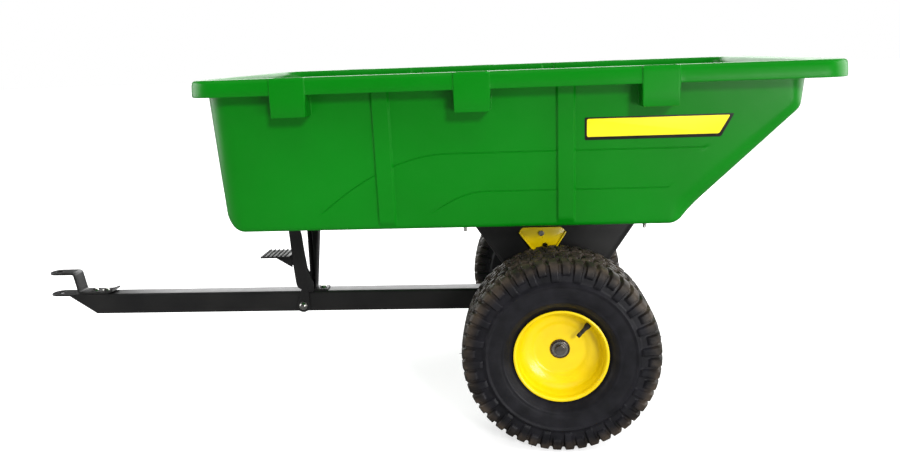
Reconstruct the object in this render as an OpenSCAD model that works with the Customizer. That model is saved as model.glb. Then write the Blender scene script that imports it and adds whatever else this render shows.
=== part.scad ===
// Tow-behind dump cart: a moulded tub that tips about the axle, on a channel drawbar.
// X runs from the hitch towards the dumping end, Y runs across, Z is up, the ground is Z = 0.
// Most modules work in the axle frame, where X = 0 is the axle, and at_axle() puts them in place.

/* [Tub] */
// Width over the rim
tub_width = 806; // [790:1:820]
// Reach of the rim ahead of the axle
rim_front = 743; // [735:1:755]
// Reach of the rim behind the axle
rim_rear = 560; // [550:1:575]
// Height of the rim's top
rim_height = 789; // [780:1:800]
// Height of the floor's underside
floor_height = 464; // [464:1:466]
// Wall thickness of the moulding
tub_wall = 5; // [4:0.5:6]
// Depth of the rim's hanging skirt
skirt_depth = 34; // [28:1:40]
// Width of a stake pocket
pocket_width = 71; // [60:1:80]
// How far a stake pocket hangs below the rim
pocket_depth = 78; // [60:1:90]

/* [Wheels] */
// Radius of the tyre's crown
tyre_radius = 206; // [206:1:208]
// Width of the tyre
tyre_width = 165; // [150:1:168]
// Distance between the wheels' centre planes
track = 666; // [660:1:680]
// Radius of the rolled edge of the rim
rim_edge_radius = 100; // [98:0.5:102]
// Angle of the valve stem above the horizontal
valve_angle = 45; // [0:5:90]

/* [Axle] */
// Radius of the axle rod
axle_radius = 9.525; // [9.525:0.001:9.525]
// Reach of the axle from the cart's middle
axle_reach = 364; // [362:1:368]
// Radial play of the running fits
running_play = 0.05; // [0.02:0.01:0.08]

/* [Drawbar] */
// Reach of the hitch tang ahead of the axle
hitch_reach = 1302; // [1290:1:1320]
// Width of the channel
channel_width = 50; // [48:1:54]
// Height of the channel's top
channel_top = 244; // [243:1:245]
// Depth of the channel
channel_depth = 51; // [50:1:52]
// Thickness of the channel's steel
channel_steel = 4; // [3:0.5:5]
// Radius of the hitch pin hole
hitch_hole_radius = 8.25; // [8:0.05:8.5]
// Height of the upper hitch plate's middle
hitch_plate_height = 298; // [294:1:302]

/* [Latch] */
// Height of the lever's pivot
pivot_height = 208; // [207:1:209]
// Distance of the lever's pivot ahead of the axle
pivot_reach = 628; // [626:1:630]
// Radius of the pivot bolt's shank
pivot_radius = 5; // [4.9:0.05:5.1]
// Width of the pedal
pedal_width = 78; // [66:1:90]

/* [Hidden] */
axle_x = (hitch_reach - rim_rear) / 2;
axle_height = tyre_radius;
pivot_x = -pivot_reach;

// Tub form: top outline, sloping walls, rounded floor edges and the dumping ramp
wall_front = -722;
wall_rear = 494;
wall_top_y = 365;
corner_radius = 55;
floor_radius = 45;
floor_front = -665;
floor_rear = 228;
floor_y = 286;
edge_radius = 12;
edge_y = 318;
knee_radius = 20;
knee_x = 459;
knee_height = 705;
knee_y = 334;
wall_slope = atan((wall_top_y - edge_y - edge_radius) / (rim_height - floor_height - edge_radius));
rim_corner = 62;
pocket_x = [-531.6, -167.2, 195.8];
pocket_gap_y = [369, 401];
rib_x = [-355, 17];
rib_width = 35;
rib_height = 6;
hull_facets = 32;

// Frame under the tub
plate_steel = 4;
support_y = 206;
support_top = 212;
support_flange = 38;
support_bolt_x = 200;
support_bolt_y = 188;
strut_steel = 3;
strut_y = support_y + plate_steel;
strut_top = [-30, 425];
strut_low = [-22, 398];
striker_x = -617;
striker_height = 432;
striker_y = 36;
striker_bolt_y = 56;
bar_radius = 5;
stand_front = -608;

// Fasteners
bolt_radius = 4;
bolt_hole = 4.4;
hitch_bolt_x = [-1187, -1158];
stand_bolt_x = [-580];

// Wheel section, measured from the wheel's centre plane
half_track = track / 2;
hub_out = 21;
hub_in = -55;
hub_radius = 21.5;
bearing_radius = 17.5;
bearing_width = 14;
lip = 68;
rim_steel = 3;
seat_radius = 93;

module at_axle() {
    translate([axle_x, 0, 0]) children();
}

// Everything on one side is drawn on the left, Y negative, and mirrored for the right
module on_side(side) {
    if (side == "right") mirror([0, 1, 0]) children();
    else children();
}

module on_both_sides() {
    on_side("left") children();
    on_side("right") children();
}

// A flat ribbon of constant thickness along a path, with round outer bends
module ribbon(path, thick) {
    for (i = [0:len(path) - 2]) {
        step = path[i + 1] - path[i];
        translate(path[i]) rotate(atan2(step[1], step[0]))
            translate([0, -thick / 2]) square([norm(step), thick]);
    }
    for (i = [1:len(path) - 2]) translate(path[i]) circle(d = thick, $fn = 24);
}

// A shape drawn in X and Z, given a thickness across Y from y1 to y2
module across(y1, y2) {
    translate([0, y2, 0]) rotate([90, 0, 0]) linear_extrude(height = y2 - y1) children();
}

// A cylinder along Y from y1 to y2
module rod_y(x, z, radius, y1, y2) {
    translate([x, y1, z]) rotate([-90, 0, 0]) cylinder(r = radius, h = y2 - y1, $fn = 64);
}

module rounded_outline(x1, x2, half_y, radius) {
    translate([x1 + radius, -half_y]) square([x2 - x1 - 2 * radius, 2 * half_y]);
    translate([x1, -half_y + radius]) square([x2 - x1, 2 * (half_y - radius)]);
    for (x = [x1 + radius, x2 - radius], y = [-1, 1])
        translate([x, y * (half_y - radius)]) circle(r = radius, $fn = 96);
}

// A carriage bolt standing on z, its domed head on top and its shank hanging down
module carriage_bolt(x, y, z, shank, head = 9) {
    translate([x, y, z]) {
        translate([0, 0, -shank]) cylinder(r = bolt_radius, h = shank, $fn = 48);
        intersection() {
            translate([0, 0, -head]) sphere(r = head * 1.45, $fn = 64);
            cylinder(r = head, h = 5, $fn = 64);
        }
    }
}

module hex_nut(x, y, z, hole = 4.1) {
    translate([x, y, z]) difference() {
        cylinder(r = 7.5, h = 6.5, $fn = 6);
        translate([0, 0, -1]) cylinder(r = hole, h = 9, $fn = 48);
    }
}

// ---- Drawbar ----

module drawbar() {
    tail = 34;
    cut_top = -1250;
    cut_low = -1175;
    color("#262626") at_axle() difference() {
        union() {
            difference() {
                across(-channel_width / 2, channel_width / 2) polygon([
                    [cut_top, channel_top], [cut_low, channel_top - channel_depth],
                    [tail, channel_top - channel_depth], [tail, channel_top]]);
                translate([-hitch_reach, -channel_width / 2 + channel_steel, 0])
                    cube([hitch_reach + tail + 1, channel_width - 2 * channel_steel,
                        channel_top - channel_steel]);
            }
            translate([0, 0, channel_top - channel_steel]) linear_extrude(height = channel_steel) {
                translate([25 - hitch_reach, 0]) circle(d = channel_width, $fn = 96);
                translate([25 - hitch_reach, -channel_width / 2]) square([60, channel_width]);
            }
        }
        hitch_hole();
        for (x = concat(hitch_bolt_x, stand_bolt_x))
            translate([x, 0, channel_top - 10]) cylinder(r = bolt_hole, h = 20, $fn = 48);
        rod_y(pivot_x, pivot_height, pivot_radius + 0.1, -40, 40);
        rod_y(0, axle_height, axle_radius + running_play, -40, 40);
    }
}

module hitch_hole() {
    translate([25 - hitch_reach, 0, channel_top - 20])
        cylinder(r = hitch_hole_radius, h = 100, $fn = 96);
}

module hitch_plate() {
    steel = 5;
    low = channel_top + steel / 2;
    path = [[-hitch_reach - 2, hitch_plate_height], [-1229, hitch_plate_height], [-1219, low],
        [-1146, low], [-1130, low + 6]];
    color("#262626") at_axle() difference() {
        intersection() {
            across(-23, 23) ribbon(path, steel);
            translate([0, 0, channel_top]) linear_extrude(height = 80) {
                translate([25 - hitch_reach, 0]) circle(r = 25, $fn = 96);
                translate([25 - hitch_reach, -25]) square([200, 50]);
            }
        }
        hitch_hole();
        for (x = hitch_bolt_x) translate([x, 0, low - 10]) cylinder(r = bolt_hole, h = 20, $fn = 48);
    }
}

module drawbar_bolts() {
    color("silver") at_axle() {
        for (x = hitch_bolt_x) carriage_bolt(x, 0, channel_top + 5, 22);
        for (x = stand_bolt_x) carriage_bolt(x, 0, channel_top + 4, 22);
    }
}

module drawbar_nuts() {
    color("silver") at_axle() for (x = concat(hitch_bolt_x, stand_bolt_x))
        hex_nut(x, 0, channel_top - channel_steel - 6.5);
}

module pivot_sleeve() {
    reach = channel_width / 2 - channel_steel;
    color("#3a3a3a") at_axle() difference() {
        rod_y(0, axle_height, 12.5, -reach, reach);
        rod_y(0, axle_height, axle_radius + running_play, -reach - 1, reach + 1);
    }
}

// Tapered channel that holds the tub up at the latch, open towards the left
module latch_stand() {
    steel = 4;
    web_y = 10;
    open_y = -20;
    foot = channel_top + steel;
    top = floor_height - 6.3 - steel;
    front = stand_front + steel / 2;
    back_low = -596;
    back_top = -576;
    color("#262626") at_axle() difference() {
        union() {
            across(open_y, web_y) ribbon([[front, foot], [front, top]], steel);
            across(open_y, web_y) ribbon([[back_low, foot], [back_top, top]], steel);
            across(web_y - steel, web_y)
                polygon([[front, foot], [back_low, foot], [back_top, top], [front, top]]);
            translate([stand_front - 4, open_y, channel_top]) cube([46, 2 * -open_y, steel]);
            translate([stand_front, open_y, top]) cube([44, 2 * -open_y, steel]);
        }
        for (x = stand_bolt_x) translate([x, 0, channel_top - 1]) cylinder(r = bolt_hole, h = 9, $fn = 48);
        translate([stand_front - 6, 0, spring_height]) rotate([0, 90, 0])
            cylinder(r = spring_hole, h = 12, $fn = 24);
    }
}

module stand_pad() {
    color("#1b1b1b") at_axle() translate([stand_front, -19, floor_height - 6.3])
        linear_extrude(height = 6) translate([22, 19]) square([40, 36], center = true);
}

// ---- Foot lever ----

lever_inner = 27.5;
lever_steel = 4;
lever_outer = lever_inner + lever_steel;
spring_height = 270;
spring_hole = 1.6;

module lever_pivot_bolt() {
    seat = lever_outer + 1.9;
    color("silver") at_axle() {
        rod_y(pivot_x, pivot_height, pivot_radius, -seat, seat + 11);
        intersection() {
            translate([pivot_x, -seat + 6, pivot_height]) sphere(r = 12, $fn = 64);
            rod_y(pivot_x, pivot_height, 9.5, -seat - 7, -seat);
        }
    }
}

module lever_pivot_nut() {
    seat = lever_outer + 1.9;
    color("silver") at_axle() translate([pivot_x, seat, pivot_height]) rotate([-90, 0, 0])
        difference() {
            cylinder(r = 9.2, h = 8, $fn = 6);
            translate([0, 0, -1]) cylinder(r = pivot_radius + 0.05, h = 10, $fn = 48);
        }
}

module lever_pivot_washers() {
    color("silver") at_axle() on_both_sides() difference() {
        rod_y(pivot_x, pivot_height, 10.5, -lever_outer - 1.9, -lever_outer - 0.3);
        rod_y(pivot_x, pivot_height, pivot_radius + 0.1, -lever_outer - 3, -lever_outer + 1);
    }
}

module lever_bushing() {
    reach = channel_width / 2 - channel_steel - 0.2;
    color("#8a8a8a") at_axle() difference() {
        rod_y(pivot_x, pivot_height, 8.5, -reach, reach);
        rod_y(pivot_x, pivot_height, pivot_radius + 0.1, -reach - 1, reach + 1);
    }
}

// Two side plates that straddle the drawbar, with hooks at the top and a web along the front
module foot_lever() {
    hook_top = 452;
    hook_low = 441;
    hook_tip = striker_x - bar_radius - 1.2;
    plate = [
        [-641.5, 255], [-646, 302], [-649, 350], [-655, hook_top - 6], [-650, hook_top],
        [hook_tip, hook_top - 5], [hook_tip, hook_low], [hook_tip - 8, hook_low - 3],
        [hook_tip - 6, 420], [-620, 397], [-616.5, 353], [-608, 288], [-597, 267],
        [-598, 250], [pivot_x + 16.5, pivot_height - 4], [pivot_x - 16.5, pivot_height - 4]];
    far_plate = [
        [-641.5, 255], [-646, 302], [-649, 350], [-655, hook_top - 6], [-650, hook_top],
        [-642, hook_top - 4], [-637, 350], [-632, 302], [-612, 264], [pivot_x + 16.5, pivot_height + 30],
        [pivot_x + 16.5, pivot_height - 4], [pivot_x - 16.5, pivot_height - 4]];
    web = [[-638.7, 262], [-642.5, 302], [-645.5, 350], [-651.3, hook_top - 8]];
    color("#2e2e2e") at_axle() difference() {
        union() {
            across(-lever_outer, -lever_inner) polygon(plate);
            across(lever_inner, lever_outer) polygon(far_plate);
            on_both_sides() across(-lever_outer, -lever_inner)
                translate([pivot_x, pivot_height]) circle(r = 17, $fn = 64);
            across(-lever_outer, lever_outer) ribbon(web, lever_steel);
        }
        rod_y(pivot_x, pivot_height, pivot_radius + running_play, -50, 50);
        translate([-650, 0, spring_height]) rotate([0, 90, 0])
            cylinder(r = spring_hole, h = 16, $fn = 24);
        for (y = [-12, 12]) translate([-660, y, 322]) rotate([0, 90, 0])
            cylinder(r = 3.2, h = 20, $fn = 32);
    }
}

// Tread plate with a turned-down back flange and two gussets, riveted to the lever's web
module foot_pedal() {
    steel = 4;
    top = 337;
    back = [[-727, top], [-653.6, top], [-651.1, 312]];
    color("#262626") at_axle() {
        across(-pedal_width / 2, pedal_width / 2) ribbon([back[0], back[1] + [2, 0]], steel);
        across(-22, 22) ribbon([[-662, top], back[1] + [1.5, 0], back[2]], steel);
        on_both_sides() across(-22, -18) polygon([[-700, top - 1], [-653, top - 1], [-651.5, 306]]);
        for (y = [-12, 12]) translate([-651, y, 322]) rotate([0, 90, 0])
            cylinder(r = 3.1, h = 9, $fn = 32);
        for (i = [0:5]) translate([-722 + 11 * i, -pedal_width / 2 + 4, top])
            cube([4, pedal_width - 8, steel / 2 + 1.5]);
    }
}

// A close helix whose straight ends pass through the lever's web and the stand's flange
module lever_spring() {
    wire = 1.4;
    coil_radius = 4.5;
    coil_start = -632;
    coil_length = 16;
    tails = [-643.4, -602.8];
    tail_length = 7;
    color("silver") at_axle() translate([0, 0, spring_height]) {
        translate([coil_start, 0, 0]) rotate([0, 90, 0])
            linear_extrude(height = coil_length, twist = -360 * 8, slices = 112)
                translate([coil_radius, 0]) circle(d = wire * 1.3, $fn = 8);
        for (end = [[tails[0], coil_start], [coil_start + coil_length, tails[1]]])
            translate([end[0], 0, 0]) rotate([0, 90, 0]) cylinder(d = wire, h = end[1] - end[0], $fn = 16);
        for (x = tails) translate([x, 0, -wire / 2]) cylinder(d = wire, h = tail_length, $fn = 16);
        for (x = [coil_start, coil_start + coil_length])
            translate([x, 0, -coil_radius]) cylinder(d = wire, h = 2 * coil_radius, $fn = 16);
    }
}

// ---- Tub ----

// The solid inside the tub's walls, shrunk by inset all round
module tub_form(inset, lift = 0) {
    $fn = hull_facets;
    hull() {
        for (x = [wall_front + corner_radius, wall_rear - corner_radius], y = [-1, 1])
            translate([x, y * (wall_top_y - corner_radius), rim_height - 1 + lift])
                cylinder(r = corner_radius - inset, h = 1);
        for (x = [floor_front, floor_rear], y = [-1, 1])
            translate([x, y * floor_y, floor_height + floor_radius]) sphere(r = floor_radius - inset);
        for (x = [floor_front + 10, floor_rear], y = [-1, 1])
            translate([x, y * edge_y, floor_height + edge_radius]) sphere(r = edge_radius - inset);
        for (y = [-1, 1])
            translate([knee_x, y * knee_y, knee_height]) sphere(r = knee_radius - inset);
    }
}

module rim_shell() {
    half_y = tub_width / 2;
    web = 6;
    translate([0, 0, rim_height - skirt_depth]) difference() {
        linear_extrude(height = skirt_depth) rounded_outline(-rim_front, rim_rear, half_y, rim_corner);
        translate([0, 0, -1]) linear_extrude(height = skirt_depth - web + 1)
            rounded_outline(-rim_front + tub_wall, rim_rear - tub_wall, half_y - tub_wall,
                rim_corner - tub_wall);
    }
}

module stake_pockets() {
    for (x = pocket_x) translate([x - pocket_width / 2, -tub_width / 2 - 3, rim_height - pocket_depth])
        cube([pocket_width, tub_width / 2 + 3 - wall_top_y + 4, pocket_depth]);
}

module stake_slots() {
    gap = pocket_width - 12;
    for (x = pocket_x) translate([x - gap / 2, -pocket_gap_y[1], rim_height - pocket_depth + tub_wall])
        cube([gap, pocket_gap_y[1] - pocket_gap_y[0], pocket_depth]);
}

// Upright ribs pressed outwards from the side wall
module wall_ribs() {
    low = floor_height + 22;
    high = rim_height - 6;
    drop = tan(wall_slope);
    for (x = rib_x) translate([x - rib_width / 2, 0, 0]) rotate([90, 0, 90])
        linear_extrude(height = rib_width) polygon([
            [-wall_top_y - rib_height, high],
            [-wall_top_y - rib_height + (high - low) * drop, low],
            [-wall_top_y + 4 + (high - low) * drop, low], [-wall_top_y + 4, high]]);
}

function tub_bolt_places() = concat(
    [for (x = [-1, 1], y = [-1, 1]) [x * support_bolt_x, y * support_bolt_y]],
    [for (y = [-1, 1]) [striker_x, y * striker_bolt_y]]);

module tub() {
    color("#078616") at_axle() difference() {
        union() {
            tub_form(0);
            rim_shell();
            on_both_sides() {
                stake_pockets();
                wall_ribs();
            }
        }
        tub_form(tub_wall, 2);
        on_both_sides() stake_slots();
        for (p = tub_bolt_places()) translate([p[0], p[1], floor_height - 1])
            cylinder(r = bolt_hole, h = tub_wall + 4, $fn = 48);
    }
}

module tub_bolts() {
    color("silver") at_axle() for (p = tub_bolt_places())
        carriage_bolt(p[0], p[1], floor_height + tub_wall + 0.3, 42);
}

module tub_nuts() {
    color("silver") at_axle() for (p = tub_bolt_places())
        hex_nut(p[0], p[1], floor_height - plate_steel - 6.5);
}

module side_decal(side) {
    low = 644;
    high = 690;
    drop = (rim_height - high) * tan(wall_slope);
    color("#f5dc12") at_axle() on_side(side)
        translate([0, -wall_top_y + drop - 0.5, high]) rotate([wall_slope, 0, 0])
            rotate([90, 0, 0]) linear_extrude(height = 0.6)
                polygon([[54.5, 0], [346.6, 0], [322.7, low - high], [54.5, low - high]]);
}

// ---- Frame between the tub and the axle ----

module axle_support(side) {
    half_top = 192;
    edge = [[-half_top, floor_height - 2], [-107, 335], [-49, 233]];
    inner = support_y - 16;
    color("#262626") at_axle() on_side(side) difference() {
        union() {
            across(-support_y - plate_steel, -support_y) {
                polygon([edge[0], edge[1], edge[2], [-26, 186], [26, 186],
                    [-edge[2][0], edge[2][1]], [-edge[1][0], edge[1][1]], [half_top, edge[0][1]]]);
                translate([0, axle_height]) circle(r = 32, $fn = 96);
            }
            for (flip = [0, 1]) mirror([flip, 0, 0])
                across(-support_y - plate_steel, -inner) ribbon(edge, plate_steel);
            translate([-support_top, -support_y - plate_steel, floor_height - plate_steel])
                cube([2 * support_top, support_flange, plate_steel]);
        }
        rod_y(0, axle_height, axle_radius + 0.1, -support_y - 10, -support_y + 10);
        for (p = [strut_top, strut_low])
            rod_y(p[0], p[1], bolt_hole, -support_y - 10, -support_y + 10);
        for (x = [-support_bolt_x, support_bolt_x])
            translate([x, -support_bolt_y, floor_height - 10]) cylinder(r = bolt_hole, h = 20, $fn = 48);
    }
}

// Painted strut bolted outside the support, reaching from its top down to the axle
module side_strut(side) {
    outline = [[-72, 438], [14, 438], [24, 428], [-3, 386], [16, 206], [-16, 206], [-47, 386], [-79, 428]];
    lip_out = 9;
    // Everything but the folded lips along the two slanting sides
    flat = [[-66.9, 440], [7.8, 440], [20.2, 427.6], [-6.1, 386.7], [8.1, 252], [40, 252],
        [40, 150], [-40, 150], [-40, 252], [-20.9, 252], [-44.2, 387.2], [-75.3, 428]];
    color("#f2d416") at_axle() on_side(side) difference() {
        union() {
            across(-strut_y - strut_steel, -strut_y) {
                polygon(outline);
                translate([0, axle_height]) circle(r = 30, $fn = 96);
            }
            across(-strut_y - lip_out, -strut_y) difference() {
                polygon(outline);
                polygon(flat);
            }
        }
        rod_y(0, axle_height, axle_radius + 0.1, -strut_y - 20, -strut_y + 5);
        for (p = [strut_top, strut_low]) rod_y(p[0], p[1], bolt_hole, -strut_y - 20, -strut_y + 5);
    }
}

// Bolts that hold the struts to the supports, heads outwards
module strut_bolts() {
    seat = strut_y + strut_steel;
    color("silver") at_axle() on_both_sides() for (p = [strut_top, strut_low])
        translate([p[0], -seat, p[1]]) rotate([90, 0, 0]) {
            cylinder(r = 6.5, h = 4.5, $fn = 6);
            translate([0, 0, -18]) cylinder(r = bolt_radius, h = 18, $fn = 48);
        }
}

module strut_nuts() {
    color("silver") at_axle() on_both_sides() for (p = [strut_top, strut_low])
        translate([p[0], -support_y, p[1]]) rotate([-90, 0, 0]) hex_nut(0, 0, 0);
}

// Two ears under the floor that carry the bar for the lever's hooks
module latch_striker() {
    ear_low = striker_height - 12;
    color("#262626") at_axle() difference() {
        union() {
            on_both_sides() {
                across(-striker_y - plate_steel, -striker_y) {
                    translate([striker_x, striker_height]) circle(r = 12, $fn = 48);
                    translate([striker_x - 12, striker_height])
                        square([30, floor_height - striker_height]);
                }
                translate([striker_x - 12, -striker_y - 34, floor_height - plate_steel])
                    cube([30, 34, plate_steel]);
            }
            rod_y(striker_x, striker_height, bar_radius, -striker_y - 1, striker_y + 1);
        }
        for (y = [-striker_bolt_y, striker_bolt_y])
            translate([striker_x, y, ear_low]) cylinder(r = bolt_hole, h = 60, $fn = 48);
    }
}

// ---- Axle and its spacers ----

ring_y = 356.6;
ring_thick = 1.5;

module axle() {
    color("#9a9a9a") at_axle() difference() {
        rod_y(0, axle_height, axle_radius, -axle_reach, axle_reach);
        on_both_sides() difference() {
            rod_y(0, axle_height, axle_radius + 2, -ring_y - ring_thick - 0.1, -ring_y + 0.1);
            rod_y(0, axle_height, axle_radius - 1, -ring_y - ring_thick - 1, -ring_y + 1);
        }
    }
}

module spacer(radius, y1, y2, side) {
    color("#7d7d7d") at_axle() on_side(side) difference() {
        rod_y(0, axle_height, radius, -y2, -y1);
        rod_y(0, axle_height, axle_radius + 0.2, -y2 - 1, -y1 + 1);
    }
}

module axle_washers() {
    inner = half_track + hub_out + 0.4;
    on_both_sides() spacer(16.5, inner, ring_y - 0.2, "left");
}

module retaining_rings() {
    color("#55565a") at_axle() on_both_sides() difference() {
        rod_y(0, axle_height, 12.5, -ring_y - ring_thick, -ring_y);
        rod_y(0, axle_height, axle_radius - 0.9, -ring_y - 5, -ring_y + 5);
        translate([-2.5, -ring_y - 5, axle_height]) cube([5, 10, 20]);
    }
}

// ---- Wheels ----

// Puts a wheel section, drawn as radius and outward distance, round the axle
module wheel_ring(side) {
    at_axle() on_side(side) translate([0, -half_track, axle_height]) rotate([90, 0, 0])
        rotate_extrude($fn = 128) children();
}

module tyre(side) {
    half = tyre_width / 2;
    outer = [[seat_radius + 2, lip - 8], [101, lip - 7], [106, lip - 2], [118, 76], [136, half - 1.5],
        [160, half], [182, 81.5], [195, 78.5], [202, 73.5], [204.8, 66], [205.6, 50]];
    inner = [[196, 30], [195, 54], [188, 66], [174, 72], [150, 73], [130, 69], [112, 58],
        [seat_radius + 2, 50]];
    far = len(outer) - 1;
    color("#232325") wheel_ring(side) polygon(concat(
        outer, [[tyre_radius, 0]], [for (i = [far:-1:0]) [outer[i][0], -outer[i][1]]],
        [for (i = [len(inner) - 1:-1:0]) [inner[i][0], -inner[i][1]]], inner));
}

module rim_outer(side) {
    path = [[hub_radius, 17], [56, 18], [62, 22], [76, 27], [84, 34], [88, 46],
        [seat_radius, lip - 14], [seat_radius, lip - 5], [rim_edge_radius - 1.5, lip - 1.5]];
    color("#f5dc12") difference() {
        wheel_ring(side) ribbon(path, rim_steel);
        valve_place(side) translate([0, 0, -20]) cylinder(r = 6.1, h = 40, $fn = 48);
    }
}

module rim_inner(side) {
    path = [[79, 19], [80, 12], [84, -20], [88, -46], [seat_radius, -lip + 14],
        [seat_radius, -lip + 5], [rim_edge_radius - 1.5, -lip + 1.5]];
    color("#f5dc12") wheel_ring(side) ribbon(path, rim_steel);
}

module hub(side) {
    color("#6f6f73") wheel_ring(side) polygon([
        [bearing_radius, hub_out], [hub_radius - 1.5, hub_out], [hub_radius - 1.5, hub_in],
        [bearing_radius, hub_in], [bearing_radius, hub_in + bearing_width],
        [14, hub_in + bearing_width], [14, hub_out - bearing_width],
        [bearing_radius, hub_out - bearing_width]]);
}

// One flanged ball bearing at each end of the hub, with a recessed shield
module bearings(side) {
    bore = axle_radius + running_play;
    color("#a9a9ad") wheel_ring(side)
        for (start = [hub_out - bearing_width, hub_in]) translate([0, start]) difference() {
            translate([bore, 0]) square([bearing_radius - bore, bearing_width]);
            for (y = [-1, bearing_width - 1.2]) translate([12, y]) square([3.4, 2.2]);
        }
}

// Local frame at the valve: Z runs from the bowl's wall inwards to the cap
module valve_place(side) {
    seat = 85;
    out = 38;
    tilt = 12;
    at_axle() on_side(side) translate([0, -half_track, axle_height]) rotate([0, -valve_angle, 0])
        translate([seat, -out, 0]) rotate([0, -90, 0]) rotate([tilt, 0, 0]) children();
}

module valve_stem(side) {
    color("#161616") valve_place(side) {
        translate([0, 0, 4.8]) cylinder(r = 6.9, h = 2.6, $fn = 48);
        translate([0, 0, -5]) cylinder(r = 6, h = 15, $fn = 48);
        translate([0, 0, 10]) cylinder(r1 = 6, r2 = 4.2, h = 4, $fn = 48);
        translate([0, 0, 14]) cylinder(r = 4.2, h = 12, $fn = 48);
        translate([0, 0, 26]) cylinder(r = 2.4, h = 8, $fn = 48);
    }
}

module valve_cap(side) {
    color("#101010") valve_place(side) difference() {
        translate([0, 0, 26.2]) cylinder(r = 4.1, h = 10, $fn = 48);
        translate([0, 0, 25]) cylinder(r = 2.5, h = 9.3, $fn = 48);
    }
}

drawbar();
hitch_plate();
drawbar_bolts();
drawbar_nuts();
pivot_sleeve();
latch_stand();
stand_pad();
lever_pivot_bolt();
lever_pivot_nut();
lever_pivot_washers();
lever_bushing();
foot_lever();
foot_pedal();
lever_spring();
tub();
axle_support("left");  // axle_support_left
axle_support("right");  // axle_support_right
side_strut("left");  // side_strut_left
side_strut("right");  // side_strut_right
strut_bolts();
strut_nuts();
tub_bolts();
tub_nuts();
latch_striker();
axle();
spacer(13, 25.4, support_y - 0.2, "left");  // inner_spacer_left
spacer(13, 25.4, support_y - 0.2, "right");  // inner_spacer_right
spacer(14, 213.2, half_track + hub_in - 0.4, "left");  // outer_spacer_left
spacer(14, 213.2, half_track + hub_in - 0.4, "right");  // outer_spacer_right
axle_washers();
retaining_rings();
side_decal("left");  // side_decal_left
side_decal("right");  // side_decal_right
tyre("left");  // tyre_left
rim_outer("left");  // rim_outer_left
rim_inner("left");  // rim_inner_left
hub("left");  // hub_left
bearings("left");  // bearings_left
valve_stem("left");  // valve_stem_left
valve_cap("left");  // valve_cap_left
tyre("right");  // tyre_right
rim_outer("right");  // rim_outer_right
rim_inner("right");  // rim_inner_right
hub("right");  // hub_right
bearings("right");  // bearings_right
valve_stem("right");  // valve_stem_right
valve_cap("right");  // valve_cap_right
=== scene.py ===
from math import cos, pi, radians, sin

import bmesh
import bpy
import numpy as np
from mathutils import Matrix, Vector


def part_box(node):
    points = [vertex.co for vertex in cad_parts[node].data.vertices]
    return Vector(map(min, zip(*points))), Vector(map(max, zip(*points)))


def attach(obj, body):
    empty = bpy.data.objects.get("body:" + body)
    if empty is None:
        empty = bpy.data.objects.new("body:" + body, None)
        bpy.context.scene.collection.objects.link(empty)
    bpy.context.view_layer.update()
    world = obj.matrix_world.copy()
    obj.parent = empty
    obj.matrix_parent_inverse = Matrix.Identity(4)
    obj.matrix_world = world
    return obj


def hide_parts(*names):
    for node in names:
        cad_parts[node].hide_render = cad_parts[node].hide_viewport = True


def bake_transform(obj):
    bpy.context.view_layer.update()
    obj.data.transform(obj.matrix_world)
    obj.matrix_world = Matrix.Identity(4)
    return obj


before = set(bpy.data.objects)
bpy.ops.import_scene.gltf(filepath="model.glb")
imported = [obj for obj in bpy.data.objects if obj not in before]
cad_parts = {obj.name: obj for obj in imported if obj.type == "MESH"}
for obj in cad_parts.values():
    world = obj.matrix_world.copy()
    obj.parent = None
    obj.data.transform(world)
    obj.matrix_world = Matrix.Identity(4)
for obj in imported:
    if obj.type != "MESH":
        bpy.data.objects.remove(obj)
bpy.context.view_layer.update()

# Shapes are drawn in millimetres in the axle frame: X = 0 at the axle, the ground at Z = 0,
# and everything that has a side is drawn on the left, Y negative, and mirrored for the right.
MM = 0.001
axle_low, axle_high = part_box("axle")
tub_low, tub_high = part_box("tub")
AXLE_X = (axle_low.x + axle_high.x) / 2
AXLE_Z = (axle_low.z + axle_high.z) / 2 / MM
RIM_TOP = tub_high.z / MM
FLOOR_LOW = tub_low.z / MM
SIDES = {"left": 1, "right": -1}


# ---- Camera, light and floor ----

def look(yaw, pitch, roll):
    """The camera's right, up and back axes: turned from +Y by yaw, tipped down by pitch, rolled."""
    ahead = Vector((sin(yaw), cos(yaw), 0))
    right = Vector((cos(yaw), -sin(yaw), 0))
    up = Vector((0, 0, 1))
    ahead, up = ahead * cos(pitch) - up * sin(pitch), up * cos(pitch) + ahead * sin(pitch)
    right, up = right * cos(roll) + up * sin(roll), up * cos(roll) - right * sin(roll)
    return right, up, -ahead


def add_camera():
    """A moderately wide lens at chest height ahead of the near wheel, looking a little down."""
    lens = bpy.data.cameras.new("camera")
    lens.lens = 33.0
    lens.sensor_width = 36.0
    lens.shift_y = -0.0339
    camera = bpy.data.objects.new("camera", lens)
    axes = Matrix(look(-0.0755, 0.182, -0.0367)).transposed().to_4x4()
    camera.matrix_world = Matrix.Translation((AXLE_X - 0.095, -2.0156, 0.8258)) @ axes
    bpy.context.scene.collection.objects.link(camera)
    bpy.context.scene.camera = camera


def add_lamp(name, kind, place, target, energy, size, mirrored_in_gloss=True):
    """A lamp aimed from a place at a target; size is a sun's angle or a card's width and height."""
    lamp = bpy.data.lights.new(name, kind)
    lamp.energy = energy
    if kind == "SUN":
        lamp.angle = size
    else:
        lamp.shape = "RECTANGLE"
        lamp.size, lamp.size_y = size
    holder = bpy.data.objects.new(name, lamp)
    aim = Vector(target) - Vector(place)
    holder.matrix_world = Matrix.Translation(place) @ aim.to_track_quat("-Z", "Y").to_matrix().to_4x4()
    holder.visible_camera = False
    holder.visible_glossy = mirrored_in_gloss
    bpy.context.scene.collection.objects.link(holder)


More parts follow.
